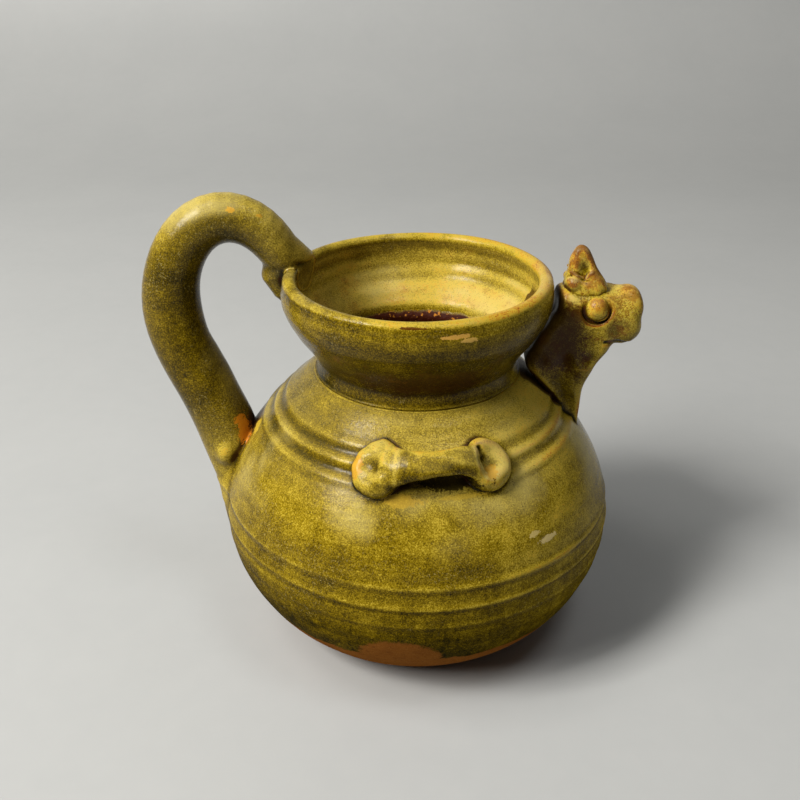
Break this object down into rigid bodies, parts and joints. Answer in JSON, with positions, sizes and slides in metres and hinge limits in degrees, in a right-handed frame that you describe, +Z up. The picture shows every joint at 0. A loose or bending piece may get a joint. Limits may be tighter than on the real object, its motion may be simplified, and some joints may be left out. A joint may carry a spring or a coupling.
{
  "type": "chicken head ewer",
  "caption": "Small round-bellied ceramic ewer with a dish mouth, an arched handle over the lip, a bird-head spout and a cord lug at each side of the shoulder.",
  "frame": {"origin": "centre of the flat base, on the surface that the ewer stands on", "axes": "+Z up along the axis the belly was turned on, +X towards the bird's head, handle on the -X side, a lug at each side of Y"},
  "size_m": [0.1515, 0.124, 0.1402],
  "materials": {
    "green_glaze": "glossy olive green celadon glaze over buff stoneware"
  },
  "bodies": {
    "root": {"body": "green_glaze", "dish_mouth": "green_glaze", "handle": "green_glaze", "spout_neck": "green_glaze", "chicken_head": "green_glaze", "comb": "green_glaze", "eye_left": "green_glaze", "eye_right": "green_glaze", "lug_front": "green_glaze", "lug_back": "green_glaze"}
  },
  "joints": []
}
